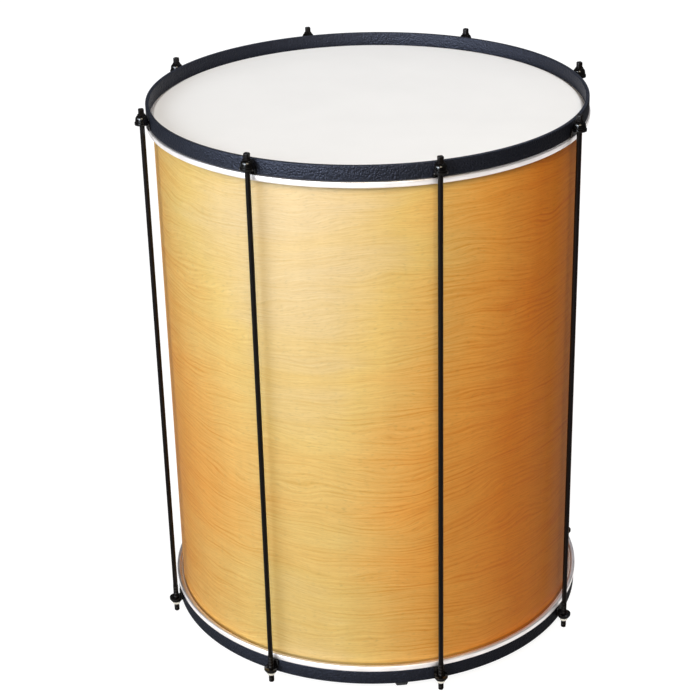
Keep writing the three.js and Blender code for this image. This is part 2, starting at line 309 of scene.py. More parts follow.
# Materials
def satin_lacquered_veneer(props):
    """Flat-cut veneer under satin lacquer: warm grain lines below a broad, soft shine. A pale
    painted sheen left of the front, and painted shade round the far side and low down, are in its
    colour.

    The grain map runs round the shell from the back, in metres, and up it."""
    painted_sheen_at = FULL_TURN * props.radius * (0.5 + props.painted_sheen_azimuth / FULL_TURN)
    # Below here the wood gets a painted shade, the gap's shadow behind the bottom flesh hoop
    gap_shade_from = high("bottom_flesh_hoop") - 0.5 * MM

    def build(add):
        grain = add("ShaderNodeUVMap", {"uv_map": "grain"})
        way = add("ShaderNodeSeparateXYZ", None, {"Vector": grain})
        along, up = way.outputs["X"], way.outputs["Y"]

        # Noises on the map itself, by their features' run and rise in millimetres
        noise = {}
        for name, run, rise, detail in (
            ("lean", 330, 140, 3), ("ripple", 80, 16, 3), ("rising", 26, 170, 2),
        ):
            place = add("ShaderNodeMapping", None, {"Vector": grain, "Scale": every(run, rise, 1)})
            noise[name] = add("ShaderNodeTexNoise", None, {
                "Vector": place, "Scale": 1, "Detail": detail,
            })

        # The figure leans by up to 90 mm over a third of a metre and ripples by up to 6 mm
        leaning = add("ShaderNodeMath", MULTIPLY_ADD, {0: noise["lean"], 1: 90 * MM, 2: up})
        rippled = add("ShaderNodeMath", MULTIPLY_ADD, {0: noise["ripple"], 1: 6 * MM, 2: leaning})
        flow = add("ShaderNodeCombineXYZ", None, {"X": along, "Y": rippled})

        # Noises that follow the figure. Fibres and pores are drawn 1.4 and 1.1 mm wide, because the
        # real ones, 0.1 mm, can't show
        for name, run, rise, detail, gain in (
            ("patches", 110, 14, 3, 0.5), ("streaks", 190, 3, 3, 0.6), ("fibre", 30, 1.4, 3, 0.65),
            ("pores", 6, 1.1, 1, 0.5), ("cloud", 240, 45, 4, 0.5),
        ):
            place = add("ShaderNodeMapping", None, {"Vector": flow, "Scale": every(run, rise, 1)})
            noise[name] = add("ShaderNodeTexNoise", None, {
                "Vector": place, "Scale": 1, "Detail": detail, "Roughness": gain,
            })

        # What a noise does, as a range of its values and the values that range becomes
        ramp = {}
        for name, source, start, end, first, last in (
            ("bold lines", "patches", 0.4, 0.68, 0, 1),
            ("faint lines", "streaks", 0.5, 0.75, 0, 0.8),
            ("fibres' tint", "fibre", 0.3, 0.7, 0, 0.5),
            ("fibres' shade", "fibre", 0.25, 0.75, 1.045, 0.975),
            ("fibres' roughness", "fibre", 0.2, 0.8, 0.5, 0.62),
            ("pores", "pores", 0.55, 0.75, 0, 1),
            ("deeper clouds", "cloud", 0.3, 0.7, -0.03, 0.03),
            ("figure up the shell", "rising", 0.25, 0.75, 0.97, 1.03),
        ):
            ramp[name] = add("ShaderNodeMapRange", None, {
                "Value": noise[source], "From Min": start, "From Max": end,
                "To Min": first, "To Max": last,
            })

        # Growth lines, a few millimetres apart, thin and broken, with a fainter set between them
        turns = add("ShaderNodeMath", MULTIPLY, {0: rippled, 1: FULL_TURN / props.growth_spacing})
        wave = add("ShaderNodeMath", {"operation": "COSINE"}, {0: turns})
        crest = add("ShaderNodeMapRange", None, {"Value": wave, "From Min": -1, "From Max": 1})
        late_wood = add("ShaderNodeMath", {"operation": "POWER"}, {0: crest, 1: 2.6})
        bold = add("ShaderNodeMath", MULTIPLY, {0: late_wood, 1: ramp["bold lines"]})
        line = add("ShaderNodeMath", MAXIMUM, {0: bold, 1: ramp["faint lines"]})

        # The leaf is palest left of the front, where a painted sheen lies in its colour. It deepens
        # round to the back, faster to the right than to the left, partly its own tone and partly
        # painted shade on the side turned from the key, and also in a band low on the shell, painted
        # shade where less light reaches
        off = add("ShaderNodeMath", {"operation": "SUBTRACT"}, {0: along, 1: painted_sheen_at})
        right_by = add("ShaderNodeMath", {"operation": "DIVIDE"}, {0: off, 1: props.radius})
        left_by = add("ShaderNodeMath", MULTIPLY, {0: right_by, 1: -0.68})
        round_by = add("ShaderNodeMath", MAXIMUM, {0: right_by, 1: left_by})
        turned_away = add("ShaderNodeMapRange", None, {
            "Value": add("ShaderNodeMath", MULTIPLY, {0: round_by, 1: round_by}),
            "From Max": 1.3, "To Max": 0.546,
        })
        clouded = add("ShaderNodeMath", ADD, {0: turned_away, 1: ramp["deeper clouds"]})
        # Painted shade low on the shell, fullest 0.22 m up and fading above it and, less, towards
        # the foot
        low_painted_shade = add("ShaderNodeMath", {"operation": "MINIMUM"}, {
            0: add("ShaderNodeMapRange", None, {"Value": up, "From Min": 0.5, "From Max": 0.22}),
            1: add("ShaderNodeMapRange", None, {"Value": up, "From Min": -0.2, "From Max": 0.22}),
        })
        band = add("ShaderNodeMapRange", None, {
            "Value": round_by, "From Min": 0.12, "From Max": 0.4, "To Min": 0.12, "To Max": 0.2,
        })
        depth = add("ShaderNodeMath", MULTIPLY_ADD, {0: low_painted_shade, 1: band, 2: clouded})

        # Each tone gives way to the next between two depths
        wood = props.pale
        for tone, start, end in (
            (props.golden, -0.01, 0.09), (props.amber, 0.09, 0.3), (props.orange, 0.3, 0.55),
        ):
            reached = add("ShaderNodeMapRange", None, {
                "Value": depth, "From Min": start, "From Max": end,
            })
            wood = add("ShaderNodeMix", COLOURS, {"Factor": reached, "A": wood, "B": tone})

        # Growth lines and fibres tint it, more and deeper where the veneer is deep
        showing = add("ShaderNodeMapRange", None, {
            "Value": depth, "From Min": 0, "From Max": 0.2, "To Min": 0.35, "To Max": 0.9,
        })
        deep = add("ShaderNodeMapRange", None, {"Value": depth, "From Min": 0.03, "From Max": 0.25})
        lined = add("ShaderNodeMix", {**COLOURS, "blend_type": "MULTIPLY"}, {
            "Factor": add("ShaderNodeMath", {**MULTIPLY_ADD, "use_clamp": True}, {
                0: line, 1: showing, 2: ramp["fibres' tint"],
            }),
            "A": wood,
            "B": add("ShaderNodeMix", COLOURS, {
                "Factor": deep, "A": props.growth_tint, "B": props.deep_tint,
            }),
        })

        # Fibres, a faint figure up the shell, pores and the low band of painted shade darken it, and
        # painted shade darkens it where it goes down behind the flesh hoop, into the gap's shadow
        figured = add("ShaderNodeMath", MULTIPLY, {
            0: ramp["fibres' shade"], 1: ramp["figure up the shell"],
        })
        lower = add("ShaderNodeMath", MULTIPLY_ADD, {0: low_painted_shade, 1: -0.06, 2: 1})
        shade = add("ShaderNodeMath", MULTIPLY, {0: figured, 1: lower})
        pored = add("ShaderNodeMath", MULTIPLY_ADD, {0: ramp["pores"], 1: -0.12, 2: shade})
        gap_painted_shade = add("ShaderNodeMapRange", None, {
            "Value": up, "From Min": gap_shade_from, "From Max": gap_shade_from + 1.2 * MM, "To Min": 0.6,
        })
        dulled = add("ShaderNodeMath", MULTIPLY, {0: pored, 1: gap_painted_shade})
        return add("ShaderNodeBsdfPrincipled", None, {
            "Base Color": add("ShaderNodeVectorMath", {"operation": "SCALE"}, {
                "Vector": lined, "Scale": dulled,
            }),
            "Roughness": ramp["fibres' roughness"],
            "IOR": 1.5,
            "Specular IOR Level": 0.6,
            "Coat Weight": 0.25,
            "Coat Roughness": 0.3,
            "Normal": add("ShaderNodeBump", None, {
                "Height": noise["fibre"], "Distance": 0.04 * MM,
            }),
        })

    return surface("satin_lacquered_veneer", build)


def birch_plywood(props):
    """Bare birch plywood, rotary cut: pale and matt, with thin dark glue lines at its edge."""
    bore = props.radius - props.wall

    def build(add):
        place = add("ShaderNodeTexCoord").outputs["Object"]
        flat = add("ShaderNodeVectorMath", MULTIPLY, {0: place, 1: (1, 1, 0)})
        out = add("ShaderNodeVectorMath", {"operation": "LENGTH"}, {0: flat}).outputs["Value"]
        plies = add("ShaderNodeMapRange", {"clamp": False}, {
            "Value": out, "From Min": bore, "From Max": bore + props.ply,
        })
        glue = add("ShaderNodeMapRange", {"interpolation_type": "SMOOTHSTEP"}, {
            "Value": add("ShaderNodeMath", {"operation": "FRACT"}, {0: plies}),
            "From Min": 0.84, "From Max": 0.94, "To Max": 0.6,
        })
        sized = add("ShaderNodeMapping", None, {"Vector": place, "Scale": every(14, 14, 1.5)})
        streak = add("ShaderNodeTexNoise", None, {
            "Vector": sized, "Scale": 1, "Detail": 3, "Roughness": 0.6,
        })
        pale = add("ShaderNodeMapRange", None, {"Value": streak, "From Min": 0.3, "From Max": 0.7})
        wood = add("ShaderNodeMix", COLOURS, {
            "Factor": pale, "A": shaded(props.birch, 0.82), "B": props.birch,
        })
        return add("ShaderNodeBsdfPrincipled", None, {
            "Base Color": add("ShaderNodeMix", COLOURS, {
                "Factor": glue, "A": wood, "B": shaded(props.birch, 0.3),
            }),
            "Roughness": add("ShaderNodeMapRange", None, {
                "Value": streak, "To Min": 0.6, "To Max": 0.8,
            }),
            "Normal": add("ShaderNodeBump", None, {"Height": streak, "Distance": 0.05 * MM}),
        })

    return surface("birch_plywood", build)


def grained(
    name, fine, tones, roughness, bump, shader,
    broad=None, tones_over=(0.3, 0.7), roughness_over=(0.3, 0.7),
):
    """A material on Object coordinates whose fine pattern gives its roughness and bump, and whose
    broad one takes it from one tone to another. Without a broad one the fine one does both.

    A pattern is its features' sizes in millimetres, its detail and its gain. tones_over and
    roughness_over are the pattern's values that the tones and the roughness run between."""
    def build(add):
        place = add("ShaderNodeTexCoord").outputs["Object"]
        noises = []
        for sizes, detail, gain in filter(None, (fine, broad)):
            sized = add("ShaderNodeMapping", None, {"Vector": place, "Scale": every(*sizes)})
            noises.append(add("ShaderNodeTexNoise", None, {
                "Vector": sized, "Scale": 1, "Detail": detail, "Roughness": gain,
            }))
        return add("ShaderNodeBsdfPrincipled", None, {
            "Base Color": add("ShaderNodeMix", COLOURS, {
                "Factor": add("ShaderNodeMapRange", None, {
                    "Value": noises[-1], "From Min": tones_over[0], "From Max": tones_over[1],
                }),
                "A": tones[0], "B": tones[1],
            }),
            "Roughness": add("ShaderNodeMapRange", None, {
                "Value": noises[0], "From Min": roughness_over[0], "From Max": roughness_over[1],
                "To Min": roughness[0], "To Max": roughness[1],
            }),
            "Normal": add("ShaderNodeBump", None, {"Height": noises[0], "Distance": bump}),
            **shader,
        })

    return surface(name, build)


def milky_polyester(props):
    """Milky polyester film with a fine sprayed coat: white, with a dull, even shine."""
    # The coat's grit is 0.2 mm, and is drawn 1.2 mm wide because that can't show
    return grained(
        "milky_polyester", fine=((1.2, 1.2, 1.2), 2, 0.6), broad=((70, 70, 70), 2, 0.5),
        tones=(shaded(props.white, 0.975), props.white), roughness=(0.46, 0.6), bump=0.02 * MM,
        shader={"IOR": 1.6},
    )


def polished_aluminium(props):
    """Polished aluminium bar, drawn lengthwise: bright, with fine lines that follow the hoop."""
    # The lines are 0.05 mm apart, and are drawn 0.5 mm apart because that can't show
    return grained(
        "polished_aluminium", fine=((25, 25, 0.5), 3, 0.6), broad=((18, 18, 4), 2, 0.5),
        tones=(shaded(props.aluminium, 0.86), props.aluminium), tones_over=(0.35, 0.7),
        roughness=(0.4, 0.54), roughness_over=(0.25, 0.75), bump=0.01 * MM, shader={"Metallic": 1},
    )


def black_powder_coat(props):
    """Powder coat baked on steel bar: black, with an orange peel that breaks up its shine."""
    peel = props.peel / MM
    return grained(
        "black_powder_coat", fine=((peel, peel, peel), 1, 0.5),
        tones=(shaded(props.powder, 0.55), props.powder), tones_over=(0.35, 0.65),
        roughness=(0.5, 0.62), bump=1.2 * MM,
        shader={"IOR": 1.5, "Specular IOR Level": 0.58, "Specular Tint": props.sheen},
    )


def gloss_black_plating(props):
    """Black chrome on steel: nearly black, with small sharp highlights and fine handling marks."""
    return grained(
        "gloss_black_plating", fine=((3, 3, 9), 2, 0.5),
        tones=(shaded(props.plating, 0.6), props.plating), roughness=(0.1, 0.22), bump=0.02 * MM,
        shader={"IOR": 1.5},
    )


def black_oxide(props):
    """Black oxide on drawn steel rod: a warm near black, with a dull shine in lines along it."""
    # The lines are 0.1 mm wide, and are drawn 0.8 mm wide because that can't show
    return grained(
        "black_oxide", fine=((0.8, 0.8, 30), 2, 0.5), tones=(shaded(props.oxide, 0.5), props.oxide),
        roughness=(0.26, 0.4), bump=0.02 * MM, shader={"IOR": 1.5, "Specular IOR Level": 0.22},
    )


def bright_zinc(props):
    """Bright zinc plate on turned steel: a light, slightly warm metal with tool marks round it."""
    return grained(
        "bright_zinc", fine=((4, 4, 0.4), 2, 0.5), broad=((2.5, 2.5, 2.5), 2, 0.5),
        tones=(shaded(props.zinc, 0.75), props.zinc), tones_over=(0.35, 0.65),
        roughness=(0.2, 0.36), bump=0.02 * MM, shader={"Metallic": 1},
    )


def moulded_rubber(props):
    """Moulded black rubber: dull, with a fine grain and a grey bloom."""
    return grained(
        "moulded_rubber", fine=((0.8, 0.8, 0.8), 3, 0.6), broad=((6, 6, 6), 2, 0.5),
        tones=(props.rubber, shaded(props.rubber, 1.8)), tones_over=(0.35, 0.7),
        roughness=(0.68, 0.85), bump=0.06 * MM, shader={},
    )


def lit_acrylic(props):
    """White acrylic sheet lit a little from below, as a product photographer's table is."""
    material = surface("lit_acrylic", lambda add: add("ShaderNodeBsdfPrincipled", None, {
        "Base Color": props.floor_colour,
        "Roughness": 0.7,
        "Emission Color": (1, 1, 1),
        "Emission Strength": props.floor_glow,
    }))
    material.cycles.emission_sampling = "NONE"
    return material


# Meshes and objects
def as_data(name, mesh):
    """The mesh data of a bmesh, which is freed."""
    data = bpy.data.meshes.new(name)
    mesh.to_mesh(data)
    mesh.free()
    return data


def as_object(name, data):
    """An object in the scene that holds a mesh, light or camera."""
    thing = bpy.data.objects.new(name, data)
    bpy.context.scene.collection.objects.link(thing)
    return thing


def evaluated_mesh(thing):
    """A plain mesh of what an object's modifiers make."""
    evaluated = thing.evaluated_get(bpy.context.evaluated_depsgraph_get())
    return bpy.data.meshes.new_from_object(evaluated)


def arc_corner(before, corner, after, radius, steps=6):
    """Points of an arc of that radius that rounds a corner of an outline."""
    corner = Vector(corner)
    back = (Vector(before) - corner).normalized()
    ahead = (Vector(after) - corner).normalized()
    half = back.angle(ahead) / 2
    start = corner + back * (radius / math.tan(half))
    middle = corner + (back + ahead).normalized() * (radius / math.sin(half))
    spoke = start - middle
    sweep = math.pi - 2 * half
    if back.x * ahead.y - back.y * ahead.x > 0:
        sweep = -sweep
    points = []
    for step in range(steps + 1):
        turn = sweep * step / steps
        across, up = math.cos(turn), math.sin(turn)
        points.append((
            middle.x + spoke.x * across - spoke.y * up,
            middle.y + spoke.x * up + spoke.y * across,
        ))
    return points


def rounded(outline, radii, steps=6):
    """An outline with each corner rounded by its radius. A radius of 0 keeps the corner."""
    points = []
    for i, (corner, radius) in enumerate(zip(outline, radii)):
        before, after = outline[i - 1], outline[(i + 1) % len(outline)]
        points += arc_corner(before, corner, after, radius, steps) if radius else [tuple(corner)]
    return points


def turned(outline_at, facets, start=0.0):
    """A mesh turned about Z. outline_at(angle) is a closed outline of (radius, height) points,
    anticlockwise with the radius to the right. Points on the axis and double points are merged.
    Its map holds the way round the outline's widest radius and the height."""
    mesh = bmesh.new()
    grain = mesh.loops.layers.uv.new("grain")
    columns = []
    for facet in range(facets):
        turn = start + FULL_TURN * facet / facets
        columns.append([
            mesh.verts.new((radius * math.cos(turn), radius * math.sin(turn), height))
            for radius, height in outline_at(turn)
        ])
    rows = len(columns[0])
    widest = max(radius for radius, _ in outline_at(start))
    for facet in range(facets):
        near, far = columns[facet], columns[(facet + 1) % facets]
        for row in range(rows):
            after = (row + 1) % rows
            face = mesh.faces.new((near[row], far[row], far[after], near[after]))
            ways = (facet, facet + 1, facet + 1, facet)
            for loop, way in zip(face.loops, ways):
                loop[grain].uv = (widest * FULL_TURN * way / facets, loop.vert.co.z)
    bmesh.ops.remove_doubles(mesh, verts=mesh.verts, dist=SAME_POINT)
    bmesh.ops.dissolve_degenerate(mesh, edges=mesh.edges, dist=SAME_POINT / 10)
    return mesh


def piece(name, mesh, *materials, sharp=35):
    """A finished object at the origin, smooth but for edges sharper than that many degrees."""
    data = as_data(name, mesh) if isinstance(mesh, bmesh.types.BMesh) else mesh
    data.name = name
    data.shade_smooth()
    data.set_sharp_from_angle(angle=math.radians(sharp))
    data.materials.clear()
    for material in materials:
        data.materials.append(material)
    return as_object(name, data)


def place_mesh(mesh, matrix):
    bmesh.ops.transform(mesh, matrix=matrix, verts=mesh.verts)
    return mesh


def rod_place(number, radius):
    """The way from a fitting's own axes to rod number's place, with its X away from the drum."""
    turn = FIRST_ROD + (number - 1) * ROD_STEP
    return Matrix.Rotation(turn, 4, "Z") @ Matrix.Translation((radius, 0, 0))


def rod_circle():
    """Radius of the circle that the rods stand on."""
    return centre("tension_rod_1").xy.length


def carry(thing, body, slot, *nodes):
    """The piece rides on a body and stands for nodes, whose parts it hides; slot is not used."""
    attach(thing, body)
    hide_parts(*nodes)


def bright_metal():
    """The collection of the pieces that mirror the lit floor."""
    return bpy.data.collections.get("bright_metal") or bpy.data.collections.new("bright_metal")


# Geometry node trees
def shape_tree(name, sizes):
    """An empty tree with named inputs for its sizes, given as {name: kind of socket}.

    Returns the tree, the function that adds its nodes and the sockets that give the sizes."""
    tree = bpy.data.node_groups.new(name, "GeometryNodeTree")
    for label, kind in {**sizes, "Material": "Material"}.items():
        tree.interface.new_socket(label, in_out="INPUT", socket_type=f"NodeSocket{kind}")
    tree.interface.new_socket("Geometry", in_out="OUTPUT", socket_type="NodeSocketGeometry")
    add = functools.partial(add_node, tree)
    return tree, add, add("NodeGroupInput").outputs


def finish_tree(tree, add, sizes, geometry):
    """Ends a tree in real geometry that has its material."""
    real = add("GeometryNodeRealizeInstances", None, {"Geometry": geometry})
    painted = add("GeometryNodeSetMaterial", None, {"Geometry": real, "Material": sizes["Material"]})
    add("NodeGroupOutput", None, {0: painted})
    return tree


def grown(name, tree, values):
    """The plain mesh that a tree gives for those values."""
    seed = as_object(name, bpy.data.meshes.new(name))
    modifier = seed.modifiers.new("shape", "NODES")
    modifier.node_group = tree
    for item in tree.interface.items_tree:
        if item.in_out == "INPUT":
            modifier[item.identifier] = values[item.name]
    data = evaluated_mesh(seed)
    seed.modifiers.remove(modifier)
    bpy.data.objects.remove(seed)
    if not data.polygons:
        raise RuntimeError(f"the tree {tree.name} made nothing for {name}")
    clean = bmesh.new()
    clean.from_mesh(data)
    bmesh.ops.remove_doubles(clean, verts=clean.verts, dist=SAME_POINT)
    bmesh.ops.recalc_face_normals(clean, faces=clean.faces)
    clean.to_mesh(data)
    clean.free()
    return data


def rolled_bar_tree():
    """Bar of rounded rectangular section, rolled into a hoop about Z."""
    tree, add, sizes = shape_tree("rolled_bar", {
        "Inner Radius": "Float", "Thickness": "Float", "Bottom": "Float", "Height": "Float",
        "Rounding": "Float", "Facets": "Int",
    })
    middle = add("ShaderNodeMath", MULTIPLY_ADD, {
        0: sizes["Thickness"], 1: 0.5, 2: sizes["Inner Radius"],
    })
    path = add("GeometryNodeCurvePrimitiveCircle", {"mode": "RADIUS"}, {
        "Resolution": sizes["Facets"], "Radius": middle,
    })
    section = add("GeometryNodeCurvePrimitiveQuadrilateral", {"mode": "RECTANGLE"}, {
        "Width": sizes["Thickness"], "Height": sizes["Height"],
    })
    soft = add("GeometryNodeFilletCurve", {"mode": "POLY"}, {
        "Curve": section, "Count": 5, "Radius": sizes["Rounding"], "Limit Radius": True,
    })
    bar = add("GeometryNodeCurveToMesh", None, {"Curve": path, "Profile Curve": soft})
    level = add("ShaderNodeMath", MULTIPLY_ADD, {0: sizes["Height"], 1: 0.5, 2: sizes["Bottom"]})
    placed = add("GeometryNodeTransform", None, {
        "Geometry": bar, "Translation": add("ShaderNodeCombineXYZ", None, {"Z": level}),
    })
    return finish_tree(tree, add, sizes, placed)


def ring_of_fittings_tree():
    """Copies of one fitting, standing round the drum with their X away from it."""
    tree, add, sizes = shape_tree("ring_of_fittings", {
        "Fitting": "Object", "Count": "Int", "Circle Radius": "Float", "First Angle": "Float",
    })
    ring = add("GeometryNodeMeshCircle", {"fill_type": "NONE"}, {
        "Vertices": sizes["Count"], "Radius": sizes["Circle Radius"],
    })
    step = add("ShaderNodeMath", {"operation": "DIVIDE"}, {0: FULL_TURN, 1: sizes["Count"]})
    turn = add("ShaderNodeMath", MULTIPLY, {0: add("GeometryNodeInputIndex"), 1: step})
    fitting = add("GeometryNodeObjectInfo", None, {"Object": sizes["Fitting"]}).outputs["Geometry"]
    copies = add("GeometryNodeInstanceOnPoints", None, {
        "Points": ring, "Instance": fitting,
        "Rotation": add("ShaderNodeCombineXYZ", None, {"Z": turn}),
    })
    placed = add("GeometryNodeTransform", None, {
        "Geometry": copies,
        "Rotation": add("ShaderNodeCombineXYZ", None, {"Z": sizes["First Angle"]}),
    })
    return finish_tree(tree, add, sizes, placed)


def thread_tree():
    """The ridge of a right-hand screw thread, wound up Z."""
    tree, add, sizes = shape_tree("thread", {
        "Root Radius": "Float", "Depth": "Float", "Pitch": "Float", "Turns": "Float",
        "Steps": "Int",
    })
    climb = add("ShaderNodeMath", MULTIPLY, {0: sizes["Pitch"], 1: sizes["Turns"]})
    helix = add("GeometryNodeCurveSpiral", None, {
        "Resolution": sizes["Steps"], "Rotations": sizes["Turns"], "Height": climb,
        "Start Radius": sizes["Root Radius"], "End Radius": sizes["Root Radius"],
    })
    ridge = add("GeometryNodeCurvePrimitiveCircle", {"mode": "RADIUS"}, {
        "Resolution": 4, "Radius": sizes["Depth"],
    })
    wound = add("GeometryNodeCurveToMesh", None, {
        "Curve": helix, "Profile Curve": ridge, "Fill Caps": True,
    })
    return finish_tree(tree, add, sizes, wound)


# Fittings, each about its own axis
def ear_mesh(props, leg, back):
    """An ear with +X away from the drum, its outward face at zero and its leg standing at back."""
    half = props.ear_width / 2
    side = rounded(
        [
            (0, -props.plate), (0, 0), (back, 0), (back, -leg),
            (back + props.plate, -leg), (back + props.plate, -props.plate),
        ],
        [0, 0, props.ear_bend, 0, 0, 0],
    )
    arm = bmesh.new()
    near = [arm.verts.new((x, -half, z)) for x, z in side]
    arm.faces.new(near)
    swept = bmesh.ops.extrude_face_region(arm, geom=arm.faces[:])
    moved = [v for v in swept["geom"] if isinstance(v, bmesh.types.BMVert)]
    bmesh.ops.translate(arm, vec=(0, props.ear_width, 0), verts=moved)
    bmesh.ops.recalc_face_normals(arm, faces=arm.faces)
    return arm


def drum_cylinder(radius, low_end, high_end, facets):
    """A plain round bar about Z, as a cutter or as a round eye."""
    bar = bmesh.new()
    bmesh.ops.create_cone(
        bar, cap_ends=True, segments=facets,
        radius1=radius, radius2=radius, depth=high_end - low_end,
    )
    return place_mesh(bar, Matrix.Translation((0, 0, (low_end + high_end) / 2)))


def joined(name, base, *steps, edge):
    """A base mesh with other meshes added or cut, as (operation, mesh), and its edges rounded."""
    things = [
        as_object(f"{name}_{i}", as_data(f"{name}_{i}", mesh))
        for i, mesh in enumerate([base, *(mesh for _, mesh in steps)])
    ]
    for (operation, _), tool in zip(steps, things[1:]):
        boolean = things[0].modifiers.new(operation, "BOOLEAN")
        boolean.operation = operation
        boolean.solver = "EXACT"
        boolean.object = tool
    bevel = things[0].modifiers.new("edge", "BEVEL")
    bevel.width = edge
    bevel.segments = 2
    bevel.limit_method = "ANGLE"
    bevel.angle_limit = math.radians(40)
    data = evaluated_mesh(things[0])
    for thing in things:
        bpy.data.objects.remove(thing)
    return data


def ring_of(name, tree, fitting, finish, sharp=35):
    """The piece that a fitting's mesh makes, standing at every rod."""
    master = as_object(f"{name}_master", fitting)
    data = grown(name, tree, {
        "Fitting": master,
        "Count": ROD_COUNT,
        "Circle Radius": rod_circle(),
        "First Angle": FIRST_ROD,
        "Material": finish,
    })
    bpy.data.objects.remove(master)
    return piece(name, data, finish, sharp=sharp)


def belled(bore, base, tip, height, rim):
    """Outline of a bell or cup: a rim at its wide end, then a side that turns in to its tip."""
    shoulder = (base - SHOULDER_IN * (base - tip), SHOULDER_UP * height)
    return rounded(
        [(bore, 0), (base, 0), (base, rim), shoulder, (tip, height), (bore, height)],
        [0, rim / 4, rim / 2, SHOULDER_ROUNDING * height, rim / 3, 0],
    )


def polygon_reach(across, corners, turn):
    """Distance from the axis to a regular polygon's side, at an angle from one of its corners."""
    step = FULL_TURN / corners
    return across / 2 / math.cos(turn % step - step / 2)


def numbered(name):
    """The names of the nodes of that kind, one at each rod."""
    return [f"{name}_{number}" for number in range(1, ROD_COUNT + 1)]


# Operators
class SURDO_OT_shell(bpy.types.Operator):
    """Builds the veneered shell, with its bearing edges and bare plywood inside"""
    bl_idname = "surdo.shell"
    bl_label = "Shell"

    def execute(self, context):
        props = context.scene.surdo.shell
        bore = props.radius - props.wall
        land = props.radius - props.edge_cut
        bottom, top = low("shell"), high("shell")
        soft = props.edge_softness
        outline = rounded(
            [
                (bore, bottom), (land, bottom), (props.radius, bottom + props.edge_cut),
                (props.radius, top - props.edge_cut), (land, top), (bore, top),
            ],
            [0, soft, soft, soft, soft, 0],
            steps=3,
        )
        back = FULL_TURN / 4  # the veneer's seam is at the back
        mesh = turned(lambda _: outline, props.facets, back)
        for face in mesh.faces:
            out = face.calc_center_median().xy.length
            # A facet's middle lies a little inside its corners
            face.material_index = 0 if out > props.radius * 0.999 - soft else 1
        thing = piece("shell_of_veneer", mesh, satin_lacquered_veneer(props), birch_plywood(props))
        carry(thing, "drum_body", "shell_veneer", "shell")
        return {"FINISHED"}


class SURDO_OT_inner_rings(bpy.types.Operator):
    """Gives the reinforcing rings inside the shell their bare plywood"""
    bl_idname = "surdo.inner_rings"
    bl_label = "Inner rings"

    def execute(self, context):
        plywood = birch_plywood(context.scene.surdo.shell)
        for name in ("top_inner_ring", "bottom_inner_ring"):
            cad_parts[name].material_slots[0].material = plywood
        return {"FINISHED"}


class SURDO_OT_heads(bpy.types.Operator):
    """Builds the two films, flat over the shell and turned down inside the flesh hoops"""
    bl_idname = "surdo.heads"
    bl_label = "Heads"

    def execute(self, context):
        settings = context.scene.surdo
        props, shell = settings.head, settings.shell
        collar = high("top_head_film") - low("top_head_film")
        land = shell.radius - shell.edge_cut

        def face(off, bend):
            """One face of the film, that far off the shell: flat, at 45 degrees, then upright."""
            level = off - props.gap - props.film
            slope_start = land + off * (math.sqrt(2) - 1)
            upright = reach("top_head_film") + level
            return rounded(
                [
                    (0, level), (slope_start, level), (upright, level + slope_start - upright),
                    (upright, -collar),
                ],
                [0, bend, bend, 0],
                steps=5,
            )

        under = face(props.gap, props.bend)
        outer = face(props.gap + props.film, props.bend + props.film)
        # Rings of points part the flat face, which would else be long thin wedges
        rings = [(reach("top_head_film") * share, outer[0][1]) for share in (0.25, 0.5, 0.75)]
        outline = [*reversed([outer[0], *rings, *outer[1:]]), *under]
        for name, turn, level in (
            ("top_head_film", 0, high("top_head_film")),
            ("bottom_head_film", math.pi, low("bottom_head_film")),
        ):
            mesh = turned(lambda _: outline, props.facets)
            place_mesh(mesh, Matrix.Translation((0, 0, level)) @ Matrix.Rotation(turn, 4, "X"))
            bmesh.ops.recalc_face_normals(mesh, faces=mesh.faces)
            thing = piece(name.replace("film", "of_polyester"), mesh, milky_polyester(props))
            carry(thing, "drum_body", "head_film", name)
        return {"FINISHED"}


class SURDO_OT_hoops(bpy.types.Operator):
    """Builds the black hoops and the bright flesh hoops, each of bar rolled round the drum"""
    bl_idname = "surdo.hoops"
    bl_label = "Hoops"

    def execute(self, context):
        props = context.scene.surdo.hoops
        tree = rolled_bar_tree()
        kinds = (
            ("hoop", props.thickness, props.rounding, black_powder_coat(props), "hoop_black"),
            (
                "flesh_hoop", props.flesh_thickness, props.flesh_rounding,
                polished_aluminium(props), "flesh_hoop_aluminium",
            ),
        )
        for end in ("top", "bottom"):
            for kind, thickness, rounding, finish, slot in kinds:
                node = f"{end}_{kind}"
                name = f"{node}_of_bar"
                data = grown(name, tree, {
                    "Inner Radius": reach(node) - thickness,
                    "Thickness": thickness,
                    "Bottom": low(node),
                    "Height": width(node, 2),
                    "Rounding": rounding,
                    "Facets": props.facets,
                    "Material": finish,
                })
                thing = piece(name, data, finish, sharp=50)
                carry(thing, f"{end}_rim", slot, node)
                if kind == "flesh_hoop":
                    bright_metal().objects.link(thing)
        return {"FINISHED"}


class SURDO_OT_ears(bpy.types.Operator):
    """Builds the eight ears of each hoop, bent from plate with a round eye for the rod"""
    bl_idname = "surdo.ears"
    bl_label = "Ears"

    def execute(self, context):
        props = context.scene.surdo.fittings
        plate = props.plate
        back = reach("top_hoop") + props.ear_gap - rod_circle()
        finish = gloss_black_plating(props)
        ear = joined(
            "ear",
            ear_mesh(props, width("top_ear_1", 2), back),
            ("UNION", drum_cylinder(props.eye, -plate, 0, facets=48)),
            ("DIFFERENCE", drum_cylinder(props.bore, -2 * plate, plate, facets=32)),
            edge=props.edge,
        )
        tree = ring_of_fittings_tree()
        for end, flip, level in (
            ("top", 0, high("top_ear_1")), ("bottom", math.pi, low("bottom_ear_1")),
        ):
            fitting = ear.copy()
            fitting.transform(Matrix.Translation((0, 0, level)) @ Matrix.Rotation(flip, 4, "X"))
            thing = ring_of(f"{end}_ears", tree, fitting, finish)
            carry(thing, f"{end}_rim", "hardware_black", *numbered(f"{end}_ear"))
        return {"FINISHED"}


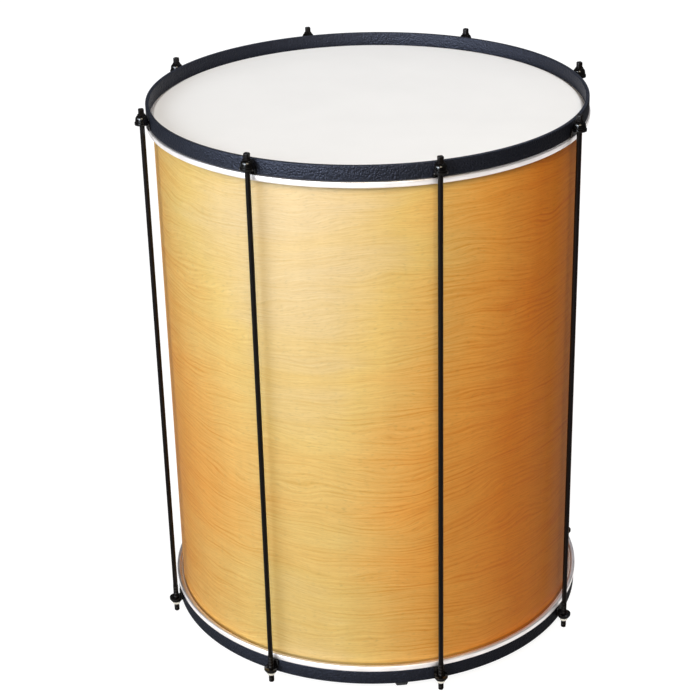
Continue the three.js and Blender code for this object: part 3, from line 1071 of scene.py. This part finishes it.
class SURDO_OT_cups_and_nuts(bpy.types.Operator):
    """Builds the cup washers below the bottom ears and the hexagon nuts below them"""
    bl_idname = "surdo.cups_and_nuts"
    bl_label = "Cup washers and nuts"

    def execute(self, context):
        props = context.scene.surdo.fittings
        node = "cup_washer_1"
        upright = belled(props.bore, width(node, 0) / 2, props.cup_tip, width(node, 2), props.rim)
        cup = [(radius, high(node) - height) for radius, height in reversed(upright)]
        bottom, top = low("hex_nut_1"), high("hex_nut_1")
        widest_flat = props.nut_across / math.sqrt(3) - props.nut_chamfer

        def nut(turn):
            side = polygon_reach(props.nut_across, 6, turn)
            flat = min(side, widest_flat)
            fall = side - flat
            return [
                (props.bore, bottom), (flat, bottom), (side, bottom + fall), (side, top - fall),
                (flat, top), (props.bore, top),
            ]

        tree = ring_of_fittings_tree()
        plating, zinc = gloss_black_plating(props), bright_zinc(props)
        for kind, outline_at, facets, finish, slot in (
            ("cup_washer", lambda _: cup, 40, plating, "hardware_black"),
            ("hex_nut", nut, 60, zinc, "nut_zinc"),
        ):
            fitting = as_data(kind, turned(outline_at, facets))
            thing = ring_of(f"{kind}s", tree, fitting, finish, sharp=28)
            carry(thing, "bottom_rim", slot, *numbered(kind))
            if kind == "hex_nut":
                bright_metal().objects.link(thing)
        return {"FINISHED"}


class SURDO_OT_rods(bpy.types.Operator):
    """Builds the tension rods, each with its rolled thread, flange and square key head"""
    bl_idname = "surdo.rods"
    bl_label = "Tension rods"

    def execute(self, context):
        props = context.scene.surdo.rods
        finish = black_oxide(props)
        top = high("tension_rod_1")
        flange_top = top - props.key_height
        flange_low = flange_top - props.flange_height
        root = props.thread_radius - props.thread_depth
        runout = props.thread_length + props.thread_depth
        crown_steps = 4

        def outline(turn):
            # The key head's flats face out from the drum and along its hoop
            flat = polygon_reach(props.key_across, 4, turn + FULL_TURN / 8)
            side = min(flat, props.key_corner)
            points = [
                (0, 0), (root - props.tail_chamfer / 2, 0), (root, props.tail_chamfer / 2),
                (root, props.thread_length), (props.radius, runout), (props.radius, flange_low),
                (props.flange - props.flange_under, flange_low),
                (props.flange, flange_low + props.flange_under),
                (props.flange, flange_top - props.flange_over),
                (props.flange - props.flange_over, flange_top), (side, flange_top),
            ]
            for step in range(crown_steps + 1):
                bend = FULL_TURN / 4 * step / crown_steps
                drop = props.key_crown * (1 - math.sin(bend))
                points.append((side - props.key_crown * (1 - math.cos(bend)), top - drop))
            return points + [(0, top)]

        ridge = grown("thread_ridge", thread_tree(), {
            "Root Radius": root,
            "Depth": props.thread_depth,
            "Pitch": props.thread_pitch,
            "Turns": (props.thread_length - props.tail_chamfer) / props.thread_pitch,
            "Steps": 20,
            "Material": finish,
        })
        ridge.transform(Matrix.Translation((0, 0, props.tail_chamfer)))
        for number in range(1, ROD_COUNT + 1):
            mesh = turned(outline, facets=32)
            bmesh.ops.recalc_face_normals(mesh, faces=mesh.faces)
            mesh.from_mesh(ridge)
            place_mesh(mesh, rod_place(number, rod_circle()))
            thing = piece(f"rod_{number}_with_thread", mesh, finish, sharp=28)
            carry(thing, f"rod_{number}", "hardware_black", f"tension_rod_{number}")
        return {"FINISHED"}


class SURDO_OT_bells(bpy.types.Operator):
    """Builds the flared bells between the key heads and the top ears"""
    bl_idname = "surdo.bells"
    bl_label = "Bells"

    def execute(self, context):
        props = context.scene.surdo.fittings
        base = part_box("bell_collar_2")
        height = base[1].z - base[0].z
        outline = belled(
            props.bore, width("bell_collar_1", 0) / 2, props.bell_top, height, props.rim
        )
        lift = Matrix.Translation((0, 0, base[0].z))
        for number in range(1, ROD_COUNT + 1):
            mesh = turned(lambda _: outline, facets=48)
            place_mesh(mesh, rod_place(number, rod_circle()) @ lift)
            thing = piece(f"bell_{number}", mesh, gloss_black_plating(props), sharp=50)
            carry(thing, f"rod_{number}", "hardware_black", f"bell_collar_{number}")
        return {"FINISHED"}


class SURDO_OT_pad(bpy.types.Operator):
    """Builds the rubber pad under the bottom hoop, curved with the hoop"""
    bl_idname = "surdo.pad"
    bl_label = "Pad"

    def execute(self, context):
        settings = context.scene.surdo
        props = settings.fittings
        lowest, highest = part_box("hoop_pad")
        middle = (lowest + highest) / 2
        facing = math.atan2(middle.y, middle.x)
        outer = reach("bottom_hoop") - props.pad_inset
        inner = outer - settings.hoops.thickness
        corners = (
            (inner, highest.z, props.pad_wide), (outer, highest.z, props.pad_wide),
            (outer, lowest.z, props.pad_narrow), (inner, lowest.z, props.pad_narrow),
        )
        columns = 8
        mesh = bmesh.new()
        rows = []
        for column in range(columns + 1):
            share = column / columns - 0.5
            turns = [facing + share * wide / outer for _, _, wide in corners]
            rows.append([
                mesh.verts.new((radius * math.cos(turn), radius * math.sin(turn), height))
                for turn, (radius, height, _) in zip(turns, corners)
            ])
        for near, far in zip(rows, rows[1:]):
            for i in range(4):
                j = (i + 1) % 4
                mesh.faces.new((near[i], near[j], far[j], far[i]))
        mesh.faces.new(rows[0])
        mesh.faces.new(rows[-1])
        bmesh.ops.recalc_face_normals(mesh, faces=mesh.faces)
        data = joined("pad", mesh, edge=props.pad_edge)
        thing = piece("pad_under_hoop", data, moulded_rubber(props))
        carry(thing, "bottom_rim", "pad_rubber", "hoop_pad")
        return {"FINISHED"}


class SURDO_OT_stage(bpy.types.Operator):
    """Builds the pale floor, the soft lights, the room and the camera"""
    bl_idname = "surdo.stage"
    bl_label = "Stage"

    def execute(self, context):
        scene = context.scene
        props = scene.surdo.stage
        radius, height = props.floor_size / 2, props.wall_height

        sheet = bmesh.new()
        bmesh.ops.create_grid(sheet, x_segments=1, y_segments=1, size=radius)
        floor = piece("floor", sheet, lit_acrylic(props))
        floor.light_linking.receiver_collection = bright_metal()

        # The wall shows pale behind the drum in a low view, and neither lights it nor shades it
        ring = bmesh.new()
        bmesh.ops.create_cone(ring, segments=96, radius1=radius, radius2=radius, depth=height)
        place_mesh(ring, Matrix.Translation((0, 0, height / 2)))
        wall = piece("wall", ring, lit_acrylic(props))
        wall.visible_diffuse = wall.visible_glossy = wall.visible_shadow = False

        room = bpy.data.worlds.new("room")
        room.use_nodes = True
        backdrop = room.node_tree.nodes["Background"]
        backdrop.inputs["Color"].default_value = (1, 1, 1, 1)
        backdrop.inputs["Strength"].default_value = props.room
        scene.world = room

        aim = Vector((0, 0, props.aim))
        softboxes = {}
        for name, (tint, size, azimuth, elevation, distance) in SOFTBOXES.items():
            light = bpy.data.lights.new(f"{name}_softbox", "AREA")
            light.energy = getattr(props, name)
            light.color = getattr(props, tint)
            light.shape = "ELLIPSE"
            light.size, light.size_y = size
            softboxes[name] = as_object(light.name, light)
            around, above = math.radians(azimuth), math.radians(elevation)
            level = math.cos(above)
            way = Vector((math.sin(around) * level, -math.cos(around) * level, math.sin(above)))
            facing = way.to_track_quat("Z", "Y").to_matrix().to_4x4()
            softboxes[name].matrix_world = Matrix.Translation(aim + way * distance) @ facing
        # The shine lifts only what lacquer and powder coat reflect, and the rear one's glare would
        # lie across the head
        softboxes["shine"].visible_diffuse = False
        softboxes["rear"].visible_glossy = False

        camera = bpy.data.cameras.new("camera")
        camera.lens = props.lens
        camera.sensor_width = 36
        camera.shift_x, camera.shift_y = props.shift_x, props.shift_y
        camera.clip_start, camera.clip_end = 0.05, 200
        eye = as_object("camera", camera)
        around = props.camera_azimuth
        place = Vector((math.sin(around), -math.cos(around), 0)) * props.camera_distance
        place.z = props.camera_height
        eye.matrix_world = (
            Matrix.Translation(place)
            @ Matrix.Rotation(around - props.camera_yaw, 4, "Z")
            @ Matrix.Rotation(math.pi / 2 - props.camera_pitch, 4, "X")
            @ Matrix.Rotation(props.camera_roll, 4, "Z")
        )
        scene.camera = eye
        scene.view_settings.view_transform = "Standard"
        return {"FINISHED"}


OPERATORS = (
    SURDO_OT_stage,
    SURDO_OT_shell,
    SURDO_OT_inner_rings,
    SURDO_OT_heads,
    SURDO_OT_hoops,
    SURDO_OT_ears,
    SURDO_OT_cups_and_nuts,
    SURDO_OT_rods,
    SURDO_OT_bells,
    SURDO_OT_pad,
)


class SURDO_PT_panel(bpy.types.Panel):
    """Lists the drum's pieces and their sizes"""
    bl_idname = "SURDO_PT_panel"
    bl_label = "Surdo"
    bl_space_type = "VIEW_3D"
    bl_region_type = "UI"
    bl_category = "Surdo"

    def draw(self, context):
        for operator in OPERATORS:
            self.layout.operator(operator.bl_idname)
        for part in SurdoSettings.__annotations__:
            box = self.layout.box()
            box.label(text=part.capitalize())
            props = getattr(context.scene.surdo, part)
            for name in props.__annotations__:
                box.prop(props, name)


CLASSES = (
    SurdoShell,
    SurdoHead,
    SurdoHoops,
    SurdoFittings,
    SurdoRods,
    SurdoStage,
    SurdoSettings,
    *OPERATORS,
    SURDO_PT_panel,
)


def register():
    for cls in CLASSES:
        bpy.utils.register_class(cls)
    bpy.types.Scene.surdo = PointerProperty(type=SurdoSettings)


def unregister():
    del bpy.types.Scene.surdo
    for cls in reversed(CLASSES):
        bpy.utils.unregister_class(cls)


def main():
    register()
    for operator in OPERATORS:
        group, name = operator.bl_idname.split(".")
        getattr(getattr(bpy.ops, group), name)()


if __name__ == "__main__":
    main()
